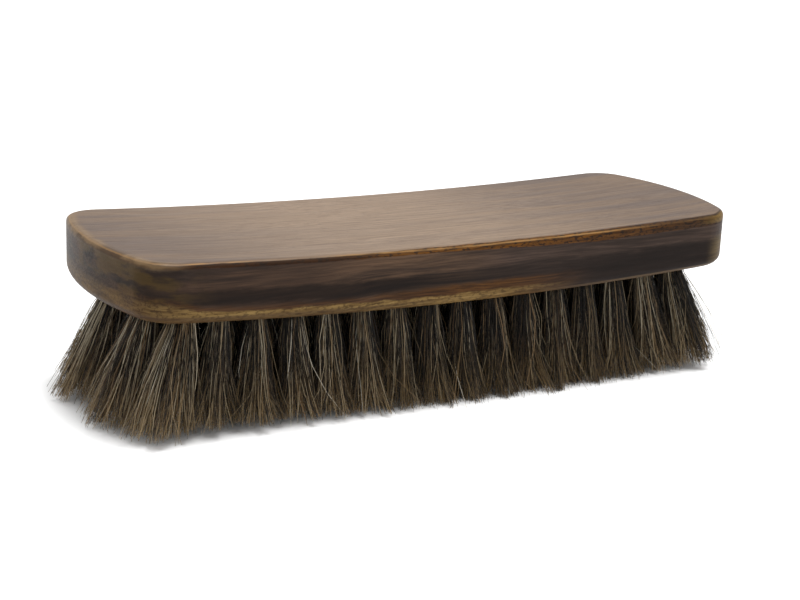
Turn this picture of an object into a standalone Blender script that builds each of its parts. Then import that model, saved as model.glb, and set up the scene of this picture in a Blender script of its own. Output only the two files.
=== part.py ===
# Interior detailing brush: an arched hardwood block with drilled holes, and tufts of horsehair set in them.
# Metres, +Z up, +X along the brush. The origin is on the surface that the hair tips stand on, under the middle.

import math
import random

import bmesh
import bpy
from mathutils import Matrix, Vector

# The block
BLOCK_LENGTH = 0.175
BLOCK_WIDTH = 0.060
BLOCK_THICKNESS = 0.0151  # at the middle of the length
TOP_RISE = 0.0022  # from the middle of the top to its ends, so the top is a shallow saddle
UNDERSIDE_RISE = 0.0032  # from the middle of the underside to its ends
END_BOW = 0.0059  # how far an end bulges beyond a straight one
CORNER_RADIUS = 0.010
TOP_EDGE_RADIUS = 0.0016
BOTTOM_EDGE_RADIUS = 0.0026

# The tuft holes, in rows that are half a pitch off their neighbours
ROWS = 5
LONG_ROW = 17  # tufts in it, one more than in the short rows between, which the outermost are
END_MARGIN = 0.0123  # from the end tuft of a long row to the block's end
SIDE_MARGIN = 0.0104  # from an outer row to the block's side
HOLE_DIAMETER = 0.0054
HOLE_DEPTH = 0.0090
DRILL_POINT = 0.0010  # height of the cone that the drill leaves at the bottom
FIT_GAP = 0.0003  # between a tuft's root and its hole, and round a strip

# The strips of underside that carry the inner tufts
STRIPS_IN_ROW = 5
STRIP_WIDTH = 0.0058
STRIP_THICKNESS = 0.0025
STRIP_ROOT_WIDTH = 0.0044

# The hair
HAIR_LENGTH = 0.0264  # from the middle of the underside down to the surface
SPLAYED_EXTRA = 0.0041  # how much longer than that a leaning strand can be
TRIM = 0.0005  # cut off level where the tips meet the surface
SIDE_FLARE = 0.0049  # how far an outer row leans out at its tips
END_FLARE = 0.0098  # how far an end tuft leans out at its tips
TIP_MARGIN = 0.0007  # from a tuft's outermost tips to the line halfway to the next tuft
TIP_TAPER = 0.70  # a strand's thickness at its tip, over its root
TIP_SCATTER = 0.00015
STRAND_MARGIN = 0.00025  # half the gap between two strands at the root
BEND = 1.35  # how late along its length a strand leans out, where 1 is a straight strand
TWIST = math.radians(7)  # most that a tuft's fan is turned

OUTER_STRANDS = 6  # in a tuft round the edge
OUTER_STEPS = 2  # straight lengths in each of its strands
INNER_STEPS = 1
HOLE_SIDES = 12
CORNER_STEPS = 6
END_STEPS = 4  # along half an end
SIDE_STEPS = 13  # along a straight side, odd so that the middle of the top is a level facet

END_TUFT = BLOCK_LENGTH / 2 - END_MARGIN
LAST_ROW = BLOCK_WIDTH / 2 - SIDE_MARGIN
TUFT_PITCH = 2 * END_TUFT / (LONG_ROW - 1)  # along a row
ROW_PITCH = 2 * LAST_ROW / (ROWS - 1)

scatter = random.Random(11)


def clear_scene():
    for obj in list(bpy.data.objects):
        bpy.data.objects.remove(obj, do_unlink=True)


def new_collection(name):
    collection = bpy.data.collections.new(name)
    bpy.context.scene.collection.children.link(collection)
    return collection


def make_material(name, colour, roughness):
    material = bpy.data.materials.new(name)
    material.use_nodes = True
    shader = material.node_tree.nodes["Principled BSDF"]
    shader.inputs["Base Color"].default_value = (*colour, 1)
    shader.inputs["Roughness"].default_value = roughness
    shader.inputs["Metallic"].default_value = 0
    material.diffuse_color = (*colour, 1)
    return material


def add_object(name, shape, collection, material, origin, parent):
    """Turns a bmesh into an object of the collection, with its origin at the given place."""
    bmesh.ops.translate(shape, verts=shape.verts, vec=-Vector(origin))
    mesh = bpy.data.meshes.new(name)
    shape.to_mesh(mesh)
    shape.free()
    if material:
        mesh.materials.append(material)
    obj = bpy.data.objects.new(name, mesh)
    collection.objects.link(obj)
    obj.parent = parent
    obj.location = origin
    return obj


def everything(shape):
    return shape.verts[:] + shape.edges[:] + shape.faces[:]


def underside_height(x):
    """The underside above the surface that the brush stands on."""
    return HAIR_LENGTH + UNDERSIDE_RISE * (2 * x / BLOCK_LENGTH) ** 2


def corner_outline():
    """One corner of the outline, from the end of the straight side to the tip of the bowed end."""
    half_length, half_width = BLOCK_LENGTH / 2, BLOCK_WIDTH / 2
    end_radius = (half_width**2 + END_BOW**2) / (2 * END_BOW)
    end_centre = half_length - end_radius
    corner_y = half_width - CORNER_RADIUS
    corner_x = end_centre + math.sqrt((end_radius - CORNER_RADIUS) ** 2 - corner_y**2)
    tangent = math.atan2(corner_y, corner_x - end_centre)
    points = []
    for step in range(CORNER_STEPS):
        angle = math.pi / 2 + (tangent - math.pi / 2) * step / CORNER_STEPS
        points.append((corner_x + CORNER_RADIUS * math.cos(angle), corner_y + CORNER_RADIUS * math.sin(angle)))
    for step in range(END_STEPS + 1):
        angle = tangent * (1 - step / END_STEPS)
        points.append((end_centre + end_radius * math.cos(angle), end_radius * math.sin(angle)))
    return points


def block_outline():
    """The whole outline, once round: the corner and its three mirror images."""
    corner = corner_outline()
    front_right = [(x, -y) for x, y in corner]
    back_right = corner[::-1][1:]
    right = front_right + back_right
    return right + [(-x, -y) for x, y in right]


def add_block(collection, material, parent):
    """A slab with its rims rounded over, then arched lengthwise along its top and its underside."""
    shape = bmesh.new()
    outline = [shape.verts.new((x, y, 0)) for x, y in block_outline()]
    underside = shape.faces.new(outline)
    raised = bmesh.ops.extrude_face_region(shape, geom=[underside])["geom"]
    for vert in raised:
        if isinstance(vert, bmesh.types.BMVert):
            vert.co.z = BLOCK_THICKNESS
    bmesh.ops.recalc_face_normals(shape, faces=shape.faces)

    for height, radius, segments in ((BLOCK_THICKNESS, TOP_EDGE_RADIUS, 3), (0, BOTTOM_EDGE_RADIUS, 4)):
        rim = [edge for edge in shape.edges if all(abs(vert.co.z - height) < 1e-6 for vert in edge.verts)]
        bmesh.ops.bevel(shape, geom=rim, offset=radius, segments=segments, profile=0.5, affect="EDGES")

    straight_end = corner_outline()[0][0]
    for step in range(SIDE_STEPS + 1):
        x = straight_end * (2 * step / SIDE_STEPS - 1)
        bmesh.ops.bisect_plane(shape, geom=everything(shape), dist=1e-6, plane_co=(x, 0, 0), plane_no=(1, 0, 0))
    for vert in shape.verts:
        up = vert.co.z / BLOCK_THICKNESS
        rise = UNDERSIDE_RISE + (TOP_RISE - UNDERSIDE_RISE) * up
        vert.co.z += HAIR_LENGTH + rise * (2 * vert.co.x / BLOCK_LENGTH) ** 2
    bmesh.ops.triangulate(shape, faces=shape.faces)
    return add_object("handle_block", shape, collection, material, (0, 0, HAIR_LENGTH), parent)


def row_places(row):
    """The places of a row's tufts, from left to right. The front row is a short one."""
    tufts = LONG_ROW - 1 + row % 2
    y = row * ROW_PITCH - LAST_ROW
    return [((tuft - (tufts - 1) / 2) * TUFT_PITCH, y) for tuft in range(tufts)]


def outer_tufts(rows):
    """The place of each tuft round the edge, by its name."""
    named = {}
    for side, places in (("front", rows[0]), ("back", rows[-1])):
        for number, place in enumerate(places, 1):
            named[f"tuft_{side}_{number:02d}"] = place
    for number, places in enumerate(rows[1:-1], 1):
        named[f"tuft_left_{number}"] = places[0]
        named[f"tuft_right_{number}"] = places[-1]
    return named


def cut_from(block, name, shape, collection, parent):
    """Subtracts a shape from the block with a Boolean modifier."""
    cutter = add_object(name, shape, collection, None, (0, 0, 0), parent)
    cutter.hide_render = True
    cutter.display_type = "WIRE"
    cut = block.modifiers.new(name, "BOOLEAN")
    cut.operation = "DIFFERENCE"
    cut.solver = "EXACT"
    cut.object = cutter


def tuft_drills(places):
    """A cylinder with a drill's point for each outer tuft, run past the underside so that it opens the hole."""
    past = BOTTOM_EDGE_RADIUS
    shape = bmesh.new()
    for x, y in places:
        middle = underside_height(x) + (HOLE_DEPTH - past) / 2
        made = bmesh.ops.create_cone(
            shape,
            cap_ends=True,
            cap_tris=True,
            segments=HOLE_SIDES,
            radius1=HOLE_DIAMETER / 2,
            radius2=HOLE_DIAMETER / 2,
            depth=HOLE_DEPTH + past,
            matrix=Matrix.Translation((x, y, middle)),
        )
        on_axis = [vert for vert in made["verts"] if math.dist(vert.co.xy, (x, y)) < HOLE_DIAMETER / 4]
        max(on_axis, key=lambda vert: vert.co.z).co.z += DRILL_POINT
    return shape


def bar_along_row(cuts, y, width, low, high):
    """A box along a row, cut across into lengths and arched like the underside, from low to high above that."""
    shape = bmesh.new()
    centre = ((cuts[0] + cuts[-1]) / 2, y, (low + high) / 2)
    size = (cuts[-1] - cuts[0], width, high - low)
    bmesh.ops.create_cube(shape, size=1, matrix=Matrix.Translation(centre) @ Matrix.Diagonal((*size, 1)))
    for x in cuts[1:-1]:
        bmesh.ops.bisect_plane(shape, geom=everything(shape), dist=1e-6, plane_co=(x, 0, 0), plane_no=(1, 0, 0))
    for vert in shape.verts:
        vert.co.z += underside_height(vert.co.x)
    shape.normal_update()
    return shape


def cell_cuts(places):
    """Where the pitches of these tufts begin and end along their row."""
    return [x - TUFT_PITCH / 2 for x, y in places] + [places[-1][0] + TUFT_PITCH / 2]


def row_slot(places):
    """The slot in the underside for all the strips of a row."""
    cuts = cell_cuts(places)
    return bar_along_row(
        cuts, places[0][1], STRIP_WIDTH + 2 * FIT_GAP, -BOTTOM_EDGE_RADIUS, STRIP_THICKNESS + FIT_GAP
    )


def flare(x, y):
    """How far the tips of the tuft at this place lean out from its root. The middle ones stand upright."""
    along = math.copysign(END_FLARE * abs(x / END_TUFT) ** 4, x)
    across = math.copysign(SIDE_FLARE * abs(y / LAST_ROW) ** 2, y)
    return Vector((along, across))


def draw_strands(shape, faces, place, steps):
    """Draws a strand out of each face round a tuft's middle: fanned out evenly, and leaning with its place."""
    bmesh.ops.inset_individual(shape, faces=faces, thickness=STRAND_MARGIN, use_even_offset=True)
    middle = Vector(place)
    lean = flare(*place)
    turn = Matrix.Rotation(scatter.uniform(-TWIST, TWIST), 2)
    length = HAIR_LENGTH + SPLAYED_EXTRA
    for face in faces:
        root = face.calc_center_median()
        spokes = [vert.co - root for vert in face.verts]
        away = turn @ (root.xy - middle).normalized() * (TUFT_PITCH / 2 - TIP_MARGIN)
        stray = Vector((scatter.uniform(-1, 1), scatter.uniform(-1, 1))) * TIP_SCATTER
        out = middle + away + lean + stray - root.xy
        drop = min(root.z + TRIM, math.sqrt(length**2 - out.length_squared))
        for step in range(1, steps + 1):
            along = step / steps
            face = bmesh.ops.extrude_discrete_faces(shape, faces=[face])["faces"][0]
            centre = root + Vector((*(out * along**BEND), -drop * along))
            for vert, spoke in zip(face.verts, spokes):
                vert.co = centre + spoke * (1 + (TIP_TAPER - 1) * along)


def trim_tips(shape):
    """Cuts level the tips that reach below the surface."""
    cut = bmesh.ops.bisect_plane(
        shape, geom=everything(shape), dist=1e-7, plane_co=(0, 0, 0), plane_no=(0, 0, -1), clear_outer=True
    )
    rims = [edge for edge in cut["geom_cut"] if isinstance(edge, bmesh.types.BMEdge)]
    bmesh.ops.holes_fill(shape, edges=rims, sides=0)


def faces_below(shape):
    return [face for face in shape.faces if face.normal.z < -0.9]


def add_outer_tuft(name, place, collection, material, parent):
    """A bundle in its own hole: the folded root fills the hole, and the strands leave its mouth."""
    height = underside_height(place[0])
    depth = HOLE_DEPTH - FIT_GAP
    radius = HOLE_DIAMETER / 2 - FIT_GAP
    turned = Matrix.Rotation(scatter.uniform(0, math.tau), 4, "Z")
    shape = bmesh.new()
    bmesh.ops.create_cone(
        shape,
        cap_ends=True,
        cap_tris=True,
        segments=OUTER_STRANDS,
        radius1=radius,
        radius2=radius,
        depth=depth,
        matrix=Matrix.Translation((*place, height + depth / 2)) @ turned,
    )
    shape.normal_update()
    draw_strands(shape, faces_below(shape), place, OUTER_STEPS)
    trim_tips(shape)
    add_object(name, shape, collection, material, (*place, height), parent)


def add_strip(name, places, collection, material, parent):
    """A few inner tufts of a row, on the slice of underside that holds them."""
    y = places[0][1]
    cuts = cell_cuts(places)
    cuts[0] += FIT_GAP
    cuts[-1] -= FIT_GAP
    rim = (STRIP_WIDTH - STRIP_ROOT_WIDTH) / 2
    shape = bar_along_row(cuts, y, STRIP_WIDTH, 0, STRIP_THICKNESS)
    for face in faces_below(shape):
        centre = face.calc_center_median()
        place = min(places, key=lambda place: abs(place[0] - centre.x))
        bmesh.ops.inset_individual(shape, faces=[face], thickness=rim)
        shorter = STRIP_ROOT_WIDTH / 2 / abs(face.verts[0].co.x - centre.x)
        bmesh.ops.scale(shape, vec=(shorter, 1, shorter), space=Matrix.Translation(-centre), verts=face.verts)
        quarters = bmesh.ops.poke(shape, faces=[face])["faces"]
        draw_strands(shape, quarters, place, INNER_STEPS)
    trim_tips(shape)
    middle = (cuts[0] + cuts[-1]) / 2
    add_object(name, shape, collection, material, (middle, y, underside_height(middle)), parent)


def strips_of_row(places):
    """Shares a row's tufts out evenly over its strips."""
    ends = [round(len(places) * strip / STRIPS_IN_ROW) for strip in range(STRIPS_IN_ROW + 1)]
    return [places[start:end] for start, end in zip(ends, ends[1:])]


def build():
    clear_scene()
    brush = new_collection("interior_detailing_brush")
    cutters = new_collection("cutters")
    hardwood = make_material("stained_hardwood", (0.105, 0.052, 0.031), 0.34)
    horsehair = make_material("horsehair", (0.045, 0.031, 0.023), 0.55)
    base = bpy.data.objects.new("brush", None)
    brush.objects.link(base)

    rows = [row_places(row) for row in range(ROWS)]
    outer = outer_tufts(rows)
    inner = [places[1:-1] for places in rows[1:-1]]

    block = add_block(brush, hardwood, base)
    cut_from(block, "tuft_drills", tuft_drills(outer.values()), cutters, base)
    for number, places in enumerate(inner, 1):
        cut_from(block, f"row_slot_{number}", row_slot(places), cutters, base)
    for name, place in outer.items():
        add_outer_tuft(name, place, brush, horsehair, base)
    strips = [strip for places in inner for strip in strips_of_row(places)]
    for number, places in enumerate(strips, 1):
        add_strip(f"tuft_strip_{number:02d}", places, brush, horsehair, base)


build()
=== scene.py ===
import math

import bmesh
import bpy
import numpy as np
from mathutils import Matrix, Vector


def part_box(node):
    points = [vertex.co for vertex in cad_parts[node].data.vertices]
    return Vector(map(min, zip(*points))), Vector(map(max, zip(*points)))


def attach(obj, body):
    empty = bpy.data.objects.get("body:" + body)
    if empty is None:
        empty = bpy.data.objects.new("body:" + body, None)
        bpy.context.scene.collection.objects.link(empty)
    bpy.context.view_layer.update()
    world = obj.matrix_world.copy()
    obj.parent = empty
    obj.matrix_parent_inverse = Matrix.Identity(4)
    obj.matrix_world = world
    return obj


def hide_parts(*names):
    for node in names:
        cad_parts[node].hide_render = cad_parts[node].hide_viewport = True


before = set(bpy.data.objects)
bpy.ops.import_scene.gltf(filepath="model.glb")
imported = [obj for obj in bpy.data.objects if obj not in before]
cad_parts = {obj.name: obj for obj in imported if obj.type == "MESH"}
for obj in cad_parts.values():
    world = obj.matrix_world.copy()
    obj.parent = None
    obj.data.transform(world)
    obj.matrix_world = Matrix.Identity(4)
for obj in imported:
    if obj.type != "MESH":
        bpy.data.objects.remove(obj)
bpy.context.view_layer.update()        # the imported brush: its bodies, nodes and record
blockLow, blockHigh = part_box("handle_block")
millimetre = 0.001
nearly = 1e-6            # places closer than this count as one


# Selecting and shaping

def selectOnly(piece):
    bpy.ops.object.select_all(action="DESELECT")
    piece.select_set(True)
    bpy.context.view_layer.objects.active = piece


def openMesh(piece):
    selectOnly(piece)
    bpy.ops.object.mode_set(mode="EDIT")
    bpy.ops.mesh.select_mode(type="VERT")


def closeMesh():
    bpy.ops.object.mode_set(mode="OBJECT")


def pick(piece, kind, test):
    # selects the verts, edges or faces of the open mesh that pass the test, and nothing else
    bpy.ops.mesh.select_mode(type={"verts": "VERT", "edges": "EDGE", "faces": "FACE"}[kind])
    bpy.ops.mesh.select_all(action="DESELECT")
    shape = bmesh.from_edit_mesh(piece.data)
    for item in getattr(shape, kind):
        if test(item):
            item.select_set(True)
    bmesh.update_edit_mesh(piece.data)


def sliceAcross(piece, places, axis, test=None):
    # cuts the mesh, or the faces that pass the test, by planes square to an axis
    square = Vector((axis == "x", axis == "y", axis == "z"))
    for place in places:
        if test:
            pick(piece, "faces", test)
        else:
            bpy.ops.mesh.select_all(action="SELECT")
        bpy.ops.mesh.bisect(plane_co=square * place, plane_no=square)


def applyAll(piece):
    selectOnly(piece)
    for modifier in list(piece.modifiers):
        bpy.ops.object.modifier_apply(modifier=modifier.name)


# The block

block = {
    "length": blockHigh.x - blockLow.x,
    "width": blockHigh.y - blockLow.y,
    "thickness": 0.0151,
    "stand": blockLow.z,        # the middle of the underside above the floor
    "topRise": 0.0022,          # from the middle to the ends
    "undersideRise": 0.0032,
    "endBow": 0.0059,
    "cornerRadius": 0.010,
    "cornerSteps": 14,
    "topRim": 0.0016,
    "topRimSteps": 6,
    "bottomRim": 0.0026,
    "bottomRimSteps": 9,
    "endSteps": 8,              # along half an end
    "slices": 44,
    "smoothAngle": 32,
}
tufts = {
    "pitch": 0.0094,            # along a row
    "rowPitch": 0.0098,
    "longRow": 17,              # a short row has one less
    "rows": 5,
    "stripsInRow": 5,
    "holeRadius": 0.0027,
    "holeDepth": 0.0090,
    "drillPoint": 0.0010,
    "holeSides": 24,
}
halfLength, halfWidth = block["length"] / 2, block["width"] / 2
endRadius = (halfWidth ** 2 + block["endBow"] ** 2) / (2 * block["endBow"])
endCentre = halfLength - endRadius
cornerY = halfWidth - block["cornerRadius"]
cornerX = endCentre + math.sqrt((endRadius - block["cornerRadius"]) ** 2 - cornerY ** 2)
cornerTurn = math.atan2(cornerY, cornerX - endCentre)
endTuft = (tufts["longRow"] - 1) / 2 * tufts["pitch"]
lastRow = (tufts["rows"] - 1) / 2 * tufts["rowPitch"]


def undersideHeight(x):
    return block["stand"] + block["undersideRise"] * (x / halfLength) ** 2


def rowPlaces(row):
    # rows are half a pitch off their neighbours, and the outermost are short ones
    count = tufts["longRow"] - 1 + row % 2
    y = row * tufts["rowPitch"] - lastRow
    return [((tuft - (count - 1) / 2) * tufts["pitch"], y) for tuft in range(count)]


def isAtEnd(x):
    return abs(x) > endTuft - tufts["pitch"]


def bowedPlace(x, y):
    # from the straight-ended slab with round corners to the one with bowed ends
    boxX = halfLength - block["cornerRadius"]
    if abs(x) < boxX + nearly and abs(y) > cornerY:
        return math.copysign(min(abs(x), cornerX), x) if abs(x) > boxX - nearly else x, y
    if abs(y) <= cornerY + nearly:
        turn = cornerTurn * abs(y) / cornerY
        return (math.copysign(endCentre + endRadius * math.cos(turn), x),
                math.copysign(endRadius * math.sin(turn), y))
    share = math.atan2(abs(y) - cornerY, abs(x) - boxX) / (math.pi / 2)
    turn = cornerTurn + (math.pi / 2 - cornerTurn) * share
    return (math.copysign(cornerX + block["cornerRadius"] * math.cos(turn), x),
            math.copysign(cornerY + block["cornerRadius"] * math.sin(turn), y))


def modelBlock():
    thickness = block["thickness"]
    bpy.ops.object.select_all(action="DESELECT")
    bpy.ops.mesh.primitive_cube_add(
        size=1, location=(0, 0, thickness / 2), scale=(block["length"], block["width"], thickness))
    piece = bpy.context.object
    piece.name = piece.data.name = "hardwoodBlock"
    bpy.ops.object.transform_apply(location=True, rotation=True, scale=True)

    openMesh(piece)
    pick(piece, "edges", lambda edge: abs(edge.verts[0].co.z - edge.verts[1].co.z) > thickness / 2)
    bpy.ops.mesh.bevel(offset=block["cornerRadius"], segments=block["cornerSteps"], affect="EDGES")
    steps = block["endSteps"]
    sliceAcross(piece, [cornerY * step / steps for step in range(1 - steps, steps)], "y",
                lambda face: abs(face.normal.x) > 0.999)
    closeMesh()
    for vert in piece.data.vertices:
        vert.co.x, vert.co.y = bowedPlace(vert.co.x, vert.co.y)

    openMesh(piece)
    for height, rim in ((thickness, "topRim"), (0, "bottomRim")):
        pick(piece, "edges", lambda edge: all(abs(vert.co.z - height) < nearly for vert in edge.verts))
        bpy.ops.mesh.bevel(offset=block[rim], segments=block[rim + "Steps"], affect="EDGES")
    slices = block["slices"]
    sliceAcross(piece, [halfLength * (2 * step / slices - 1) for step in range(1, slices)], "x")
    closeMesh()
    for vert in piece.data.vertices:
        up = vert.co.z / thickness
        rise = block["undersideRise"] + (block["topRise"] - block["undersideRise"]) * up
        vert.co.z += block["stand"] + rise * (vert.co.x / halfLength) ** 2
    return piece


def modelDrills(material):
    # one drill with its point, then a copy of it for each hole, joined into one cutter
    past = block["bottomRim"]
    length = tufts["holeDepth"] + past
    bpy.ops.object.select_all(action="DESELECT")
    bpy.ops.mesh.primitive_cylinder_add(
        vertices=tufts["holeSides"], radius=tufts["holeRadius"], depth=length,
        location=(0, 0, length / 2 - past), end_fill_type="TRIFAN")
    drill = bpy.context.object
    bpy.ops.object.transform_apply(location=True, rotation=True, scale=True)
    drill.data.materials.append(material)
    openMesh(drill)
    pick(drill, "verts", lambda vert: vert.co.xy.length < nearly and vert.co.z > 0)
    bpy.ops.transform.translate(value=(0, 0, tufts["drillPoint"]))
    closeMesh()
    copies = []
    for row in range(tufts["rows"]):
        for x, y in rowPlaces(row):
            copy = drill.copy()
            copy.data = drill.data.copy()
            copy.data.transform(Matrix.Translation((x, y, undersideHeight(x))))
            bpy.context.scene.collection.objects.link(copy)
            copies.append(copy)
    bpy.data.objects.remove(drill)
    selectOnly(copies[0])
    for copy in copies:
        copy.select_set(True)
    bpy.ops.object.join()
    return copies[0]


def drillBlock(piece, cutter):
    cut = piece.modifiers.new("holes", "BOOLEAN")
    cut.operation = "DIFFERENCE"
    cut.solver = "EXACT"
    cut.material_mode = "TRANSFER"
    cut.object = cutter
    applyAll(piece)
    bpy.data.objects.remove(cutter)
    selectOnly(piece)
    bpy.ops.object.shade_smooth_by_angle(angle=math.radians(block["smoothAngle"]))
    weighted = piece.modifiers.new("flatFaces", "WEIGHTED_NORMAL")
    weighted.keep_sharp = True
    applyAll(piece)


# Nodes of a material, with a socket or a number as each value

def addNode(tree, kind, values=(), **settings):
    node = tree.nodes.new(kind)
    for name, setting in settings.items():
        setattr(node, name, setting)
    for socket, value in dict(values).items():
        setSocket(tree, node.inputs[socket], value)
    return node


def setSocket(tree, socket, value):
    if isinstance(value, bpy.types.NodeSocket):
        tree.links.new(value, socket)
    else:
        socket.default_value = value


def calculate(tree, operation, first, second=0.0, third=0.0):
    values = {0: first, 1: second, 2: third}
    return addNode(tree, "ShaderNodeMath", values, operation=operation).outputs[0]


def product(tree, *factors):
    result = factors[0]
    for factor in factors[1:]:
        result = calculate(tree, "MULTIPLY", result, factor)
    return result


def noiseOf(tree, vector, detail, roughness=0.5, distortion=0.0):
    values = {"Vector": vector, "Scale": 1.0, "Detail": detail, "Roughness": roughness,
              "Distortion": distortion}
    return addNode(tree, "ShaderNodeTexNoise", values).outputs["Fac"]


def stretched(tree, vector, scale, location=(0, 0, 0)):
    values = {"Vector": vector, "Scale": scale, "Location": location}
    return addNode(tree, "ShaderNodeMapping", values).outputs[0]


def ranged(tree, value, low, high, toLow=0.0, toHigh=1.0):
    # a smooth step between two values
    values = {"Value": value, "From Min": low, "From Max": high, "To Min": toLow, "To Max": toHigh}
    return addNode(tree, "ShaderNodeMapRange", values, interpolation_type="SMOOTHSTEP").outputs[0]


def mixColours(tree, share, first, second, blend="MIX"):
    values = {0: share, 6: first, 7: second}
    return addNode(tree, "ShaderNodeMix", values, data_type="RGBA", blend_type=blend).outputs[2]


def separated(tree, vector):
    return addNode(tree, "ShaderNodeSeparateXYZ", {0: vector}).outputs


def combined(tree, x, y, z=0.0):
    return addNode(tree, "ShaderNodeCombineXYZ", {0: x, 1: y, 2: z}).outputs[0]


def lengthOf(tree, vector):
    return addNode(tree, "ShaderNodeVectorMath", {0: vector}, operation="LENGTH").outputs["Value"]


def colour(red, green, blue):
    # a colour as it shows on a screen, from 0 to 255, as the light that it reflects
    shown = [value / 255 for value in (red, green, blue)]
    light = [value / 12.92 if value < 0.04045 else ((value + 0.055) / 1.055) ** 2.4 for value in shown]
    return (*light, 1)


def newGroup(name, inputs, outputs):
    tree = bpy.data.node_groups.new(name, "ShaderNodeTree")
    for label, kind, value in inputs:
        socket = tree.interface.new_socket(label, in_out="INPUT", socket_type=kind)
        if kind == "NodeSocketFloat":
            socket.default_value = value
    for label in outputs:
        tree.interface.new_socket(label, in_out="OUTPUT", socket_type="NodeSocketFloat")
    given = tree.nodes.new("NodeGroupInput").outputs
    result = tree.nodes.new("NodeGroupOutput").inputs
    return tree, given, result


def place(tree, group, values):
    node = tree.nodes.new("ShaderNodeGroup")
    node.node_tree = group
    for label, value in values.items():
        setSocket(tree, node.inputs[label], value)
    return node.outputs


def makeGrainGroup():
    # long fibres along X, for anything sawn from this wood, with places in millimetres
    tree, given, result = newGroup(
        "woodGrain",
        [("Place", "NodeSocketVector", None), ("Fibre Width", "NodeSocketFloat", 0.42),
         ("Fibre Length", "NodeSocketFloat", 26.0), ("Band Width", "NodeSocketFloat", 5.0)],
        ["Fibres", "Bands", "Pores", "Height"])
    across = calculate(tree, "DIVIDE", 1.0, given["Fibre Width"])
    along = calculate(tree, "DIVIDE", 1.0, given["Fibre Length"])
    bandAcross = calculate(tree, "DIVIDE", 1.0, given["Band Width"])

    # the fibres wander sideways by up to 9 mm
    axes = separated(tree, given["Place"])
    wander = noiseOf(tree, stretched(tree, given["Place"], (0.012, 0.05, 0.05)), 2.0)
    shift = product(tree, wander, 9.0)
    shifted = [calculate(tree, "ADD", axes[axis], shift) for axis in (1, 2)]
    bent = combined(tree, axes[0], *shifted)

    fibres = noiseOf(tree, stretched(tree, bent, combined(tree, along, across, across)), 4.0, 0.62)
    bandScale = combined(tree, product(tree, along, 0.28), bandAcross, bandAcross)
    bands = noiseOf(tree, stretched(tree, bent, bandScale, (3.1, 7.7, 1.9)), 3.0, 0.55)
    poreAcross = product(tree, across, 1.7)
    poreScale = combined(tree, product(tree, along, 9.0), poreAcross, poreAcross)
    pores = ranged(tree, noiseOf(tree, stretched(tree, bent, poreScale, (5.3, 0, 0)), 1.0), 0.62, 0.72)
    height = calculate(tree, "SUBTRACT", fibres, product(tree, pores, 0.6))
    setSocket(tree, result["Fibres"], ranged(tree, fibres, 0.3, 0.7))
    setSocket(tree, result["Bands"], ranged(tree, bands, 0.34, 0.66))
    setSocket(tree, result["Pores"], pores)
    setSocket(tree, result["Height"], height)
    return tree


def makeRimGroup():
    # how far a place lies from the block's top and bottom rims, in millimetres: below 0 on the side
    tree, given, result = newGroup(
        "rimDistance", [("Place", "NodeSocketVector", None)], ["From Top Rim", "From Bottom Rim"])
    axes = separated(tree, given["Place"])
    absX, absY = (calculate(tree, "ABSOLUTE", axes[axis]) for axis in (0, 1))

    def less(value, number):
        return calculate(tree, "SUBTRACT", value, number)

    def arched(middle, rise):
        bow = calculate(tree, "POWER", calculate(tree, "DIVIDE", absX, halfLength / millimetre), 2.0)
        return calculate(tree, "MULTIPLY_ADD", bow, rise / millimetre, middle / millimetre)

    def inside(radius, fromX, fromY):
        return less(radius / millimetre, lengthOf(tree, combined(tree, fromX, fromY)))

    belowTop = less(arched(block["stand"] + block["thickness"], block["topRise"]), axes[2])
    aboveUnder = less(axes[2], arched(block["stand"], block["undersideRise"]))

    # inwards from the straight sides, from the bowed ends, and from the round corners
    fromSide = less(halfWidth / millimetre, absY)
    fromEnd = inside(endRadius, less(absX, endCentre / millimetre), absY)
    beyondX, beyondY = less(absX, cornerX / millimetre), less(absY, cornerY / millimetre)
    fromCorner = inside(block["cornerRadius"], beyondX, beyondY)
    turned = less(product(tree, beyondY, math.cos(cornerTurn)), product(tree, beyondX, math.sin(cornerTurn)))
    inCorner = product(tree, *(calculate(tree, "GREATER_THAN", value) for value in (beyondX, turned)))
    straight = calculate(tree, "MINIMUM", fromSide, fromEnd)
    inset = calculate(tree, "MULTIPLY_ADD", inCorner, less(fromCorner, straight), straight)

    nearTop = ranged(tree, belowTop, 4.0, 7.0, 1.0, 0.0)
    nearUnder = ranged(tree, aboveUnder, 4.0, 7.0, 1.0, 0.0)
    setSocket(tree, result["From Top Rim"], less(product(tree, inset, nearTop), belowTop))
    setSocket(tree, result["From Bottom Rim"], less(product(tree, inset, nearUnder), aboveUnder))
    return tree


def makeWearGroup():
    # a worn band between two distances from an edge, with a ragged outline
    tree, given, result = newGroup(
        "edgeWear",
        [("Distance", "NodeSocketFloat", 0.0), ("Low", "NodeSocketFloat", -1.0),
         ("High", "NodeSocketFloat", 1.0), ("Softness", "NodeSocketFloat", 0.5),
         ("Raggedness", "NodeSocketFloat", 1.0), ("Place", "NodeSocketVector", None)],
        ["Worn"])
    coarse = noiseOf(tree, stretched(tree, given["Place"], (0.16, 0.45, 0.45)), 4.0, 0.6)
    ragged = product(tree, calculate(tree, "SUBTRACT", coarse, 0.5), given["Raggedness"], 2.0)
    distance = calculate(tree, "ADD", given["Distance"], ragged)
    half = product(tree, given["Softness"], 0.5)

    def stepAt(edge, before, after):
        start, end = (calculate(tree, operation, edge, half) for operation in ("SUBTRACT", "ADD"))
        return ranged(tree, distance, start, end, before, after)

    enters = stepAt(given["Low"], 0.0, 1.0)
    leaves = stepAt(given["High"], 1.0, 0.0)
    setSocket(tree, result["Worn"], product(tree, enters, leaves))
    return tree


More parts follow.
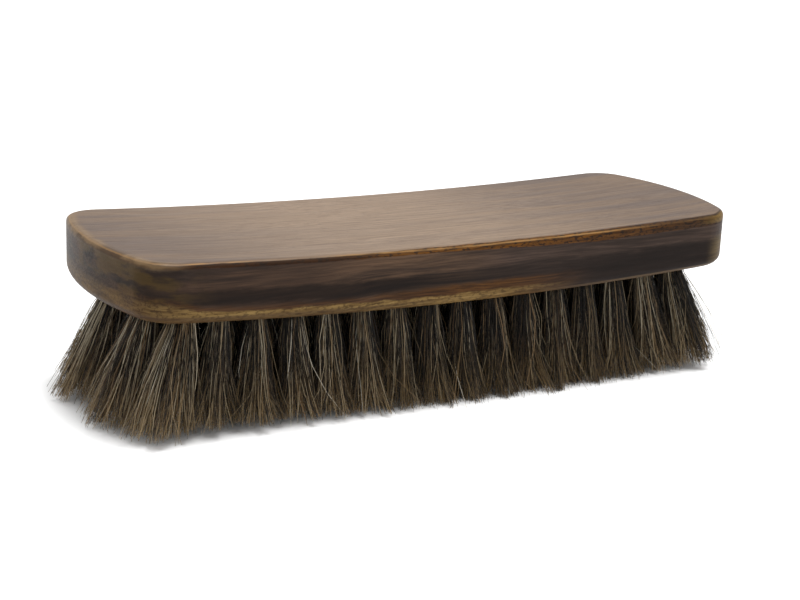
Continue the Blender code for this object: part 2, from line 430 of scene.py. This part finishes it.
def startMaterial(name):
    material = bpy.data.materials.new(name)
    material.use_nodes = True
    tree = material.node_tree
    shader = tree.nodes["Principled BSDF"]
    where = addNode(tree, "ShaderNodeTexCoord").outputs["Object"]
    scaled = addNode(tree, "ShaderNodeVectorMath", {0: where, 3: 1 / millimetre}, operation="SCALE")
    return material, tree, shader, scaled.outputs[0]


stain = {
    "topBands": [(99, 84, 74), (119, 98, 78)],
    "lighterTopMiddle": (148, 126, 104),
    "topFibres": (75, 63, 58),
    "topPores": (60, 50, 47),
    "darkBands": (47, 36, 30),          # on the sides, with the lighter ones between them
    "leftBands": (70, 52, 40),
    "middleBands": (99, 76, 58),
    "rightBands": (73, 58, 50),
    "sideFibres": (18, 12, 11),
    "darkerBelowMiddle": (17, 9, 6),
    "leftClouds": (25, 16, 11),
    "leftPatches": (84, 65, 26),
    "rightPatch": [(112, 92, 54), (80, 63, 38)],
    "rusty": [(88, 55, 20), (44, 25, 8)],
    "bareWood": [(138, 112, 66), (84, 62, 30)],
    "bareUnderside": (70, 52, 33),
    "bareSpecks": (46, 31, 14),
    "lastLine": (96, 79, 60),
    "rimLeft": (46, 21, 1),
    "rimMiddle": (106, 64, 10),
    "rimRight": (60, 38, 17),
    "rimFibres": (30, 15, 3),
    "rimSpecks": (22, 12, 7),
    # pale worn wood along the top rim, together with a painted highlight on it
    "paleWearAndHighlight": (158, 120, 72),
    "mottledEnd": [(130, 107, 78), (82, 65, 47)],
    "wornCorner": [(134, 108, 52), (92, 68, 34)],
    "leftEndTint": (0.80, 0.72, 0.58, 1),
    "roughness": 0.34,
    "rougherFibres": 0.12,
    "rougherSides": 0.08,
    "shine": 0.1,
}


def makeStainedWood(grain, rims, wear):
    # all places and distances are in millimetres: along the block, across it, and in from a rim
    material, tree, shader, where = startMaterial("stainedWood")
    wood = place(tree, grain, {"Place": where})
    edge = place(tree, rims, {"Place": where})
    fromTop, fromBottom = edge["From Top Rim"], edge["From Bottom Rim"]
    x, y = separated(tree, where)[0:2]
    sidewaysPlace = stretched(tree, where, (1, 0.12, 1))     # so the streaks go on round the ends
    sideWood = place(tree, grain, {
        "Place": sidewaysPlace, "Fibre Width": 0.50, "Fibre Length": 12.0, "Band Width": 2.2})
    specks = ranged(tree, noiseOf(tree, stretched(tree, where, (0.7, 1.6, 1.6)), 2.0, 0.6), 0.50, 0.60)
    blotches = noiseOf(tree, stretched(tree, where, (0.10, 0.10, 0.30)), 3.0, 0.55)
    clouds = noiseOf(tree, stretched(tree, where, (0.09, 0.09, 0.15), (4.3, 0, 2.1)), 4.0, 0.6, 0.6)
    clouds = ranged(tree, clouds, 0.44, 0.58)

    def along(start, end, first=0.0, last=1.0):
        return ranged(tree, x, start, end, first, last)

    def across(start, end, first, last):
        return ranged(tree, y, start, end, first, last)

    def fadedAtLeft(rest):
        return ranged(tree, atLeft, 0.0, 1.0, 1.0, rest)

    def worn(distance, low, high, softness, raggedness):
        return place(tree, wear, {
            "Distance": distance, "Low": low, "High": high, "Softness": softness,
            "Raggedness": raggedness, "Place": where})["Worn"]

    def over(under, share, name):
        return mixColours(tree, share, under, colour(*stain[name]))

    def twoTones(name, pattern):
        first, second = stain[name]
        return mixColours(tree, pattern, colour(*first), colour(*second))

    atLeft = along(-88.0, -64.0, 1.0, 0.0)

    # the top is lighter in the middle and towards the back
    nearMiddle = ranged(tree, calculate(tree, "ABSOLUTE", calculate(tree, "ADD", x, 10.0)), 10.0, 76.0, 1.0, 0.0)
    topTone = twoTones("topBands", wood["Bands"])
    topTone = over(topTone, product(tree, nearMiddle, across(-30.0, 30.0, 0.72, 0.84)), "lighterTopMiddle")
    topTone = over(topTone, product(tree, wood["Fibres"], 0.45), "topFibres")
    topTone = over(topTone, product(tree, wood["Pores"], 0.45), "topPores")

    # the stain lies thick on the sides, and they are darker still below their middle
    lighter = over(colour(*stain["leftBands"]), along(-50.0, -10.0), "middleBands")
    lighter = over(lighter, along(-10.0, 16.0), "rightBands")
    sideTone = mixColours(tree, sideWood["Bands"], colour(*stain["darkBands"]), lighter)
    sideTone = over(sideTone, product(tree, sideWood["Fibres"], 0.50), "sideFibres")
    thick = worn(fromTop, along(10.0, 35.0, -10.6, -14.0), -6.5, 2.2, 1.2)
    thick = product(tree, thick, along(-20.0, 5.0, 0.80, 0.58), along(20.0, 45.0, 1.0, 1.4), fadedAtLeft(0.3))
    sideTone = over(sideTone, thick, "darkerBelowMiddle")

    # it is cloudy and thin at the left end, and rubbed off the front corner at the right
    sideTone = over(sideTone, product(tree, clouds, atLeft, 0.86), "leftClouds")
    patches = product(tree, ranged(tree, blotches, 0.45, 0.60), atLeft, 0.52)
    sideTone = over(sideTone, patches, "leftPatches")
    rightPatch = product(tree, worn(fromBottom, -8.0, -1.0, 3.0, 2.0), along(74.0, 80.0, 0.0, 0.7),
                         across(-25.0, -14.0, 1.0, 0.0))
    sideTone = mixColours(tree, rightPatch, sideTone, twoTones("rightPatch", sideWood["Fibres"]))
    onSide = ranged(tree, fromTop, -1.4, -0.3, 1.0, 0.0)
    tone = mixColours(tree, onSide, topTone, sideTone)

    # the bottom rim is rubbed to pale wood at the left and in the middle, and rusty above that
    rustyFrom = calculate(tree, "MULTIPLY_ADD", atLeft, -3.0, along(-40.0, 0.0, -4.0, -5.2))
    rusty = product(tree, worn(fromBottom, rustyFrom, 3.0, 1.3, 1.0), along(-30.0, 0.0, 0.50, 0.90),
                    along(10.0, 40.0, 1.0, 0.0), fadedAtLeft(0.4))
    tone = mixColours(tree, rusty, tone, twoTones("rusty", wood["Fibres"]))
    paleFrom = calculate(tree, "MULTIPLY_ADD", atLeft, -2.2, -2.9)
    paleSoftness = calculate(tree, "MULTIPLY_ADD", atLeft, 2.4, 0.7)
    pale = product(tree, worn(fromBottom, paleFrom, 3.0, paleSoftness, 0.9), along(0.0, 36.0, 0.94, 0.0),
                   fadedAtLeft(0.45))
    bare = twoTones("bareWood", sideWood["Fibres"])
    underside = product(tree, ranged(tree, fromBottom, -2.3, -1.2), along(-40.0, 0.0, 0.75, 0.1))
    bare = over(bare, underside, "bareUnderside")
    bare = over(bare, product(tree, specks, 0.55), "bareSpecks")
    tone = mixColours(tree, pale, tone, bare)
    lastLine = product(tree, worn(fromBottom, -0.7, 3.0, 0.5, 0.3), along(10.0, 50.0, 0.0, 0.7))
    tone = over(tone, lastLine, "lastLine")

    # a rusty line runs under the top rim, dark at the left and wider at the right
    rimTone = over(colour(*stain["rimLeft"]), along(-40.0, -8.0), "rimMiddle")
    rimTone = over(rimTone, along(25.0, 75.0), "rimRight")
    rimTone = over(rimTone, product(tree, wood["Fibres"], 0.8), "rimFibres")
    rimTone = over(rimTone, product(tree, specks, 0.85), "rimSpecks")
    rimFrom = along(-15.0, 45.0, -1.3, -2.7)
    rimTo = calculate(tree, "ADD", along(-45.0, 0.0, 0.1, 0.8), along(25.0, 50.0, 0.0, 0.4))
    rim = product(tree, worn(fromTop, rimFrom, rimTo, 0.4, 0.5), 0.90)
    tone = mixColours(tree, rim, tone, rimTone)

    # and a thin broken pale line runs along it: partly pale worn wood, partly a painted highlight, brightest
    # near the left end
    lineFrom = along(-45.0, 0.0, 0.15, -0.45)
    paleWearAndHighlight = worn(fromTop, lineFrom, calculate(tree, "ADD", lineFrom, 0.55), 0.4, 0.3)
    broken = ranged(tree, blotches, 0.35, 0.60, 0.25, 0.85)
    bright = calculate(tree, "ADD", along(-63.0, -55.0, 1.0, 0.1), along(-42.0, -28.0, 0.0, 0.7))
    paleWearAndHighlight = product(tree, paleWearAndHighlight, broken, bright, along(35.0, 60.0, 1.0, 0.2))
    tone = over(tone, paleWearAndHighlight, "paleWearAndHighlight")

    # the top rim is worn at both ends
    mottled = twoTones("mottledEnd", ranged(tree, blotches, 0.40, 0.60))
    leftBand = product(tree, worn(fromTop, -1.4, 2.4, 1.8, 1.2), along(-84.0, -70.0, 0.6, 0.0))
    tone = mixColours(tree, leftBand, tone, mottled)
    corner = product(tree, worn(fromTop, -2.2, 0.6, 0.8, 0.6), along(70.0, 82.0, 0.0, 0.7),
                     across(-26.0, -8.0, 1.0, 0.35))
    tone = mixColours(tree, corner, tone, twoTones("wornCorner", wood["Fibres"]))
    leftEnd = product(tree, along(-87.0, -78.0, 1.0, 0.0), ranged(tree, fromTop, -4.5, -1.5, 1.0, 0.15))
    tone = mixColours(tree, leftEnd, tone, stain["leftEndTint"], "MULTIPLY")

    setSocket(tree, shader.inputs["Base Color"], tone)
    roughness = calculate(tree, "MULTIPLY_ADD", wood["Fibres"], stain["rougherFibres"], stain["roughness"])
    roughness = calculate(tree, "MULTIPLY_ADD", onSide, stain["rougherSides"], roughness)
    setSocket(tree, shader.inputs["Roughness"], roughness)
    shader.inputs["Specular IOR Level"].default_value = stain["shine"]
    bump = addNode(tree, "ShaderNodeBump", {"Height": wood["Height"], "Strength": 0.25, "Distance": 0.00008})
    setSocket(tree, shader.inputs["Normal"], bump.outputs[0])
    return material


def makeDrilledWood(grain):
    material, tree, shader, where = startMaterial("drilledWood")
    wood = place(tree, grain, {"Place": where, "Fibre Width": 0.25, "Fibre Length": 8.0})
    tone = mixColours(tree, wood["Fibres"], colour(120, 88, 56), colour(64, 42, 27))
    tone = mixColours(tree, wood["Pores"], tone, colour(34, 22, 15))
    setSocket(tree, shader.inputs["Base Color"], tone)
    shader.inputs["Roughness"].default_value = 0.8
    bump = addNode(tree, "ShaderNodeBump", {"Height": wood["Height"], "Strength": 0.5, "Distance": 0.0001})
    setSocket(tree, shader.inputs["Normal"], bump.outputs[0])
    return material


# The hair

hair = {
    "perEndTuft": 900,
    "perOuterTuft": 600,
    "perInnerTuft": 500,
    "rings": (0.17, 0.36, 0.57, 0.79),      # where a hair can bend
    "length": 0.0312,
    "intoHole": 0.0020,
    "thin": 0.00005,            # radii, of a dark hair and a pale one
    "thick": 0.00013,
    "tipShare": 0.5,            # of the thickness at the root
    "rootSpread": 0.0021,       # round the middle of its hole
    "tipSpread": (0.0076, 0.0070),
    "endSpread": 1.22,          # how much wider the end tufts spread, and their roots
    "stray": 0.22,              # how far a tip strays, as a share of the spread
    "sideLean": 0.0041,
    "endLean": 0.0090,
    "leanVaries": 0.12,
    "mostLean": 0.51,           # of its length, how far a hair's tip may stand out
    "leastDrop": 0.7,           # of its length, how far down it reaches at the least
    "outerBend": (2.2, 3.9),    # how late a hair leaves the column of its tuft
    "innerBend": (0.6, 1.2),
    "endBend": (0.85, 1.4),
    "sway": 0.0008,
    "wave": 0.00030,
    "shortShare": 0.3,          # share of hairs that may be much shorter
    "shortest": 0.16,           # how much shorter
    "uneven": 0.02,             # how much shorter the others may be
    "leftTrim": 0.0037,         # how far the tips stand off the floor towards the ends
    "rightTrim": 0.0041,
    "trimVaries": 0.0003,
    "locks": 14,                # bundles that hang together, in a tuft
    "lockReach": 0.85,          # how far out they start and end, as a share of the spread
    "lockSpread": 1.1,
    "lockStray": 0.15,
    "together": 0.62,
    "togetherVaries": (0.2, 1.3),
    "darker": 1.15,             # above 1, more of the hairs are dark
    "lockShade": 0.10,          # how much the shades of locks and of tufts differ
    "tuftShade": 0.02,
    "leftPaintedLight": 0.17,          # painted light: how much paler the left end's hairs are made, standing in for the stronger light on that end
    "palest": 0.98,
    "flyaway": 0.025,           # share of hairs that stand off
    "flyawayStray": 0.0042,
    "flyawaySway": 2.2,
    "flyawayShade": 0.80,
}
hairTones = {
    "shades": [(0.0, (13, 11, 10)), (0.50, (27, 22, 17)), (0.66, (50, 41, 31)), (0.79, (100, 85, 63)),
               (0.91, (140, 124, 97)), (0.97, (170, 157, 131)), (1.0, (230, 224, 210))],
    "redder": (0.94, 0.76, 0.60, 1),
    "tanTip": (142, 117, 78),
    "roughness": 0.42,
    "shine": 0.3,
}
hairMap = "OFBake"              # across it a hair's shade, up it the way from root to tip
mapMargin = 0.004
scatter = np.random.default_rng(7)


def modelStrand():
    # one hair of length and radius 1, standing on its root
    bpy.ops.object.select_all(action="DESELECT")
    bpy.ops.mesh.primitive_cylinder_add(
        vertices=3, radius=1, depth=1, location=(0, 0, 0.5), end_fill_type="NGON")
    strand = bpy.context.object
    bpy.ops.object.transform_apply(location=True, rotation=True, scale=True)
    openMesh(strand)
    sliceAcross(strand, hair["rings"], "z")
    closeMesh()
    for vert in strand.data.vertices:
        thinner = 1 - (1 - hair["tipShare"]) * vert.co.z
        vert.co.x, vert.co.y = vert.co.x * thinner, vert.co.y * thinner
    places = np.array([vert.co for vert in strand.data.vertices])
    faces = [list(face.vertices) for face in strand.data.polygons]
    bpy.data.objects.remove(strand)
    return places, faces


def leanOf(x, y):
    return np.array([math.copysign(hair["endLean"] * abs(x / endTuft) ** 4, x),
                     math.copysign(hair["sideLean"] * abs(y / lastRow) ** 2, y)])


def inDisc(count):
    turn = scatter.uniform(0, 2 * math.pi, count)
    reach = np.sqrt(scatter.uniform(0, 1, count))
    return np.stack([reach * np.cos(turn), reach * np.sin(turn)], axis=1)


def trimOf(x):
    # the tips rise off the floor towards the left, less again at the very end, and at the right end
    end = np.clip(x / halfLength, -1.05, 1.05)
    toLeft, toRight = np.maximum(-end, 0), np.maximum(end, 0)
    return hair["leftTrim"] * toLeft ** 0.9 * (1 - 0.55 * toLeft ** 8) + hair["rightTrim"] * toRight ** 5


def shadesOf(x, lock, loose):
    # from 0 for black to 1 for the palest
    # painted light: hairs towards the left end are made paler, standing in for the stronger light on that end
    paler = hair["leftPaintedLight"] * max(-x / endTuft, 0) ** 4
    lockShade = scatter.normal(paler, hair["lockShade"], hair["locks"])
    shade = scatter.uniform(0, 1, len(lock)) ** hair["darker"] + lockShade[lock]
    shade = np.clip(shade + scatter.normal(0, hair["tuftShade"]), 0, hair["palest"])
    return np.where(loose, scatter.uniform(hair["flyawayShade"], 1, len(lock)), shade)


def radiiOf(shade, loose):
    # pale hairs are the coarsest, except for those that stand off
    coarse = 0.45 * scatter.uniform(0, 1, len(shade)) + 0.55 * shade ** 2 * np.where(loose, 0.5, 1)
    return hair["thin"] + (hair["thick"] - hair["thin"]) * coarse


def sectionsOf(heading, strand):
    # the strand's outline at each ring, square to the way the hair runs there
    heading = heading / np.linalg.norm(heading, axis=2, keepdims=True)
    turn = scatter.uniform(0, 2 * math.pi, len(heading))
    facing = np.stack([np.cos(turn), np.sin(turn), np.zeros(len(turn))], axis=1)[:, None]
    side = np.cross(heading, np.broadcast_to(facing, heading.shape))
    side /= np.linalg.norm(side, axis=2, keepdims=True)
    other = np.cross(heading, side)
    return strand[None, :, 0, None] * side + strand[None, :, 1, None] * other


def growTuft(x, y, count, strand):
    # the places of all the hairs of one tuft, and each hair's shade
    height, lean, atEnd = undersideHeight(x), leanOf(x, y), isAtEnd(x)
    wider = hair["endSpread"] if atEnd else 1

    # where each hair starts and ends, round the middle of the tuft, drawn towards its lock
    root = inDisc(count)
    lockRoot = inDisc(hair["locks"]) * hair["lockReach"]
    lock = np.argmin(((root[:, None] - lockRoot[None]) ** 2).sum(2), axis=1)
    own = root + scatter.normal(0, hair["stray"], (count, 2))
    lockTip = lockRoot * hair["lockSpread"] + scatter.normal(0, hair["lockStray"], (hair["locks"], 2))
    together = hair["together"] * scatter.uniform(*hair["togetherVaries"], (count, 1))
    tip = (own * (1 - together) + lockTip[lock] * together) * np.array(hair["tipSpread"]) * (1, wider)
    tip = tip + lean * scatter.normal(1, hair["leanVaries"], (count, 1))
    loose = scatter.uniform(0, 1, count) < hair["flyaway"]
    tip[loose] += scatter.normal(0, hair["flyawayStray"], (loose.sum(), 2))
    root = root * hair["rootSpread"] * wider

    # how long it is, how far it may stand out, and how far down it reaches
    isShort = scatter.uniform(0, 1, count) < hair["shortShare"]
    muchShorter = scatter.uniform(0, hair["shortest"], count)
    littleShorter = scatter.uniform(0, hair["uneven"], count)
    length = hair["length"] * (1 - np.where(isShort, muchShorter, littleShorter))
    out = tip - root
    out *= np.minimum(1, hair["mostLean"] * length / np.linalg.norm(out, axis=1))[:, None]
    reach = np.sqrt(np.maximum(length ** 2 - (out ** 2).sum(1), (hair["leastDrop"] * length) ** 2))
    trimmed = trimOf(x + root[:, 0] + out[:, 0])
    drop = np.minimum(height - trimmed - scatter.uniform(0, hair["trimVaries"], count), reach)

    outer = abs(y) > lastRow - tufts["rowPitch"] / 2
    bend = scatter.uniform(*hair["endBend" if atEnd else "outerBend" if outer else "innerBend"], count)
    sway = scatter.normal(0, hair["sway"], (count, 2)) * np.where(loose, hair["flyawaySway"], 1.0)[:, None]
    wave = scatter.normal(0, hair["wave"], (count, 2))
    shade = shadesOf(x, lock, loose)
    radius = radiiOf(shade, loose)
    hidden = hair["intoHole"] / (hair["intoHole"] + hair["length"])

    def pathAt(share):
        free = np.clip((share - hidden) / (1 - hidden), 0, 1)[None, :, None]
        inHole = np.clip(1 - share / hidden, 0, 1)[None, :, None]
        flat = root[:, None] + lean * free + (out - lean)[:, None] * free ** bend[:, None, None]
        flat = flat + sway[:, None] * np.sin(math.pi * free) + wave[:, None] * np.sin(2 * math.pi * free)
        up = height + hair["intoHole"] * inHole - drop[:, None, None] * free
        return np.concatenate([flat + np.array([x, y]), up], axis=2)

    along = strand[:, 2]
    step = 0.04         # of the length, to either side of a ring
    heading = pathAt(np.minimum(along + step, 1)) - pathAt(np.maximum(along - step, 0))
    return pathAt(along) + sectionsOf(heading, strand) * radius[:, None, None], shade


def makeTufts(name, places, count, strand, material):
    # one mesh from all the hairs of these tufts
    strandPlaces, strandFaces = strand
    grown = [growTuft(x, y, count, strandPlaces) for x, y in places]
    points = np.concatenate([tuft for tuft, _ in grown]).reshape(-1, 3)
    shades = np.concatenate([shade for _, shade in grown])
    hairs, size = len(shades), len(strandPlaces)
    corners = np.concatenate([np.array(face) for face in strandFaces])
    lengths = np.array([len(face) for face in strandFaces])
    starts = np.concatenate([[0], np.cumsum(lengths)[:-1]])
    allCorners = (corners[None] + size * np.arange(hairs)[:, None]).ravel()
    allStarts = (starts[None] + len(corners) * np.arange(hairs)[:, None]).ravel()

    mesh = bpy.data.meshes.new(name)
    mesh.vertices.add(hairs * size)
    mesh.vertices.foreach_set("co", points.astype(np.float32).ravel())
    mesh.loops.add(len(allCorners))
    mesh.loops.foreach_set("vertex_index", allCorners.astype(np.int32))
    mesh.polygons.add(len(allStarts))
    mesh.polygons.foreach_set("loop_start", allStarts.astype(np.int32))
    mesh.polygons.foreach_set("use_smooth", np.ones(len(allStarts), bool))
    mesh.update(calc_edges=True)
    mesh.validate()

    around = np.arctan2(strandPlaces[:, 1], strandPlaces[:, 0]) / (2 * math.pi) + 0.5
    across = mapMargin + (1 - 3 * mapMargin) * shades[:, None] + mapMargin * around[None]
    upward = mapMargin + (1 - 2 * mapMargin) * np.broadcast_to(strandPlaces[:, 2], across.shape)
    spots = np.stack([across.ravel(), upward.ravel()], axis=1)[allCorners]
    mesh.uv_layers.new(name=hairMap).uv.foreach_set("vector", spots.astype(np.float32).ravel())
    mesh.materials.append(material)
    piece = bpy.data.objects.new(name, mesh)
    bpy.context.scene.collection.objects.link(piece)
    return piece


def makeHorsehair():
    material = bpy.data.materials.new("horsehair")
    material.use_nodes = True
    tree = material.node_tree
    shader = tree.nodes["Principled BSDF"]
    shade, toTip = separated(tree, addNode(tree, "ShaderNodeUVMap", uv_map=hairMap).outputs[0])[0:2]
    ramp = addNode(tree, "ShaderNodeValToRGB", {0: shade})
    stops = ramp.color_ramp.elements
    while len(stops) < len(hairTones["shades"]):
        stops.new(0.5)
    for stop, (position, shown) in zip(stops, hairTones["shades"]):
        stop.position = position
        stop.color = colour(*shown)

    # about half of the hairs are redder, and about half have a tan tip
    byHair = noiseOf(tree, combined(tree, product(tree, shade, 90.0), 0.0), 0.0)
    redder = noiseOf(tree, combined(tree, product(tree, shade, 140.0), 7.0), 0.0)
    redder = ranged(tree, redder, 0.48, 0.64)
    tone = mixColours(tree, redder, ramp.outputs[0], hairTones["redder"], "MULTIPLY")
    paler = product(tree, ranged(tree, toTip, 0.40, 1.0, 0.0, 0.78), ranged(tree, byHair, 0.49, 0.58))
    tone = mixColours(tree, paler, tone, colour(*hairTones["tanTip"]))
    setSocket(tree, shader.inputs["Base Color"], tone)
    shader.inputs["Roughness"].default_value = hairTones["roughness"]
    shader.inputs["Specular IOR Level"].default_value = hairTones["shine"]
    return material


# Building the brush

print("modelling the block")
grain, rims, wear = makeGrainGroup(), makeRimGroup(), makeWearGroup()
stainedWood = makeStainedWood(grain, rims, wear)
drilledWood = makeDrilledWood(grain)
hardwoodBlock = modelBlock()
hardwoodBlock.data.materials.append(stainedWood)
drillBlock(hardwoodBlock, modelDrills(drilledWood))
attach(hardwoodBlock, "root")
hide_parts("handle_block")

print("growing the hair")
horsehair = makeHorsehair()
strand = modelStrand()
rows = [rowPlaces(row) for row in range(tufts["rows"])]
pieces = []
for side, places in (("front", rows[0]), ("back", rows[-1])):
    for number, spot in enumerate(places, 1):
        pieces.append((f"{side}Tuft{number:02d}", f"tuft_{side}_{number:02d}", [spot]))
for number, places in enumerate(rows[1:-1], 1):
    pieces.append((f"leftTuft{number}", f"tuft_left_{number}", [places[0]]))
    pieces.append((f"rightTuft{number}", f"tuft_right_{number}", [places[-1]]))
strips = []
for places in rows[1:-1]:
    inner = places[1:-1]
    ends = [round(len(inner) * strip / tufts["stripsInRow"]) for strip in range(tufts["stripsInRow"] + 1)]
    strips += [inner[start:end] for start, end in zip(ends, ends[1:])]
for number, places in enumerate(strips, 1):
    pieces.append((f"innerTufts{number:02d}", f"tuft_strip_{number:02d}", places))
for name, node, places in pieces:
    count = hair["perEndTuft"] if isAtEnd(places[0][0]) else hair["perOuterTuft"]
    if len(places) > 1:
        count = hair["perInnerTuft"]
    piece = makeTufts(name, places, count, strand, horsehair)
    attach(piece, "root")
    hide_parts(node)


# The studio

studio = {
    "floorSize": 40.0,
    "floorColour": (0.94, 0.94, 0.94, 1),
    "floorRoughness": 0.9,
    "floorShine": 0.1,
    "skyLow": 0.80,             # strength of the light from level with the floor, and from overhead
    "skyHigh": 0.55,
    "horizonGlow": 0.3,         # whiter just above the far edge of the floor
    "horizonFades": (0.02, 0.07),
    "lampFrom": (0.12, -0.06, 0.99),
    "lampStrength": 3.1,
    "lampAngle": 18,            # the width of the soft lamp, in degrees
}
camera = {
    "azimuth": -29.75,          # degrees round from the front, and above the floor
    "elevation": 15.6,
    "roll": 2.46,
    "target": (-0.0031, -0.0026, 0.0205),
    "distance": 0.4372,
    "focalLength": 75.68,
    "sensorWidth": 36,
    "nearest": 0.01,
}


def setUpStudio():
    bpy.ops.object.select_all(action="DESELECT")
    bpy.ops.mesh.primitive_plane_add(size=studio["floorSize"], location=(0, 0, 0))
    floor = bpy.context.object
    floor.name = "floor"
    paper = bpy.data.materials.new("paper")
    paper.use_nodes = True
    shader = paper.node_tree.nodes["Principled BSDF"]
    shader.inputs["Base Color"].default_value = studio["floorColour"]
    shader.inputs["Roughness"].default_value = studio["floorRoughness"]
    shader.inputs["Specular IOR Level"].default_value = studio["floorShine"]
    floor.data.materials.append(paper)

    world = bpy.data.worlds.new("studioAir")
    world.use_nodes = True
    air = world.node_tree
    upward = separated(air, addNode(air, "ShaderNodeTexCoord").outputs["Generated"])[2]
    values = {"Value": upward, "To Min": studio["skyLow"], "To Max": studio["skyHigh"]}
    strength = addNode(air, "ShaderNodeMapRange", values).outputs[0]
    glow = ranged(air, upward, *studio["horizonFades"], studio["horizonGlow"], 0.0)
    background = air.nodes["Background"]
    setSocket(air, background.inputs["Strength"], calculate(air, "ADD", strength, glow))
    background.inputs["Color"].default_value = (1, 1, 1, 1)
    bpy.context.scene.world = world

    bpy.ops.object.light_add(type="SUN", location=studio["lampFrom"])
    lamp = bpy.context.object
    lamp.name = "softLamp"
    lamp.data.energy = studio["lampStrength"]
    lamp.data.angle = math.radians(studio["lampAngle"])
    lamp.rotation_euler = Vector(studio["lampFrom"]).to_track_quat("Z", "Y").to_euler()


def setUpCamera():
    turn = (Matrix.Rotation(math.radians(camera["azimuth"]), 4, "Z")
            @ Matrix.Rotation(math.radians(90 - camera["elevation"]), 4, "X")
            @ Matrix.Rotation(math.radians(camera["roll"]), 4, "Z"))
    back = turn @ Vector((0, 0, 1))
    bpy.ops.object.camera_add()
    made = bpy.context.object
    made.name = "photoCamera"
    made.matrix_world = Matrix.Translation(Vector(camera["target"]) + back * camera["distance"]) @ turn
    made.data.lens = camera["focalLength"]
    made.data.sensor_width = camera["sensorWidth"]
    made.data.clip_start = camera["nearest"]
    bpy.context.scene.camera = made


print("setting up the studio")
setUpStudio()
setUpCamera()
bpy.context.scene.view_settings.view_transform = "Standard"
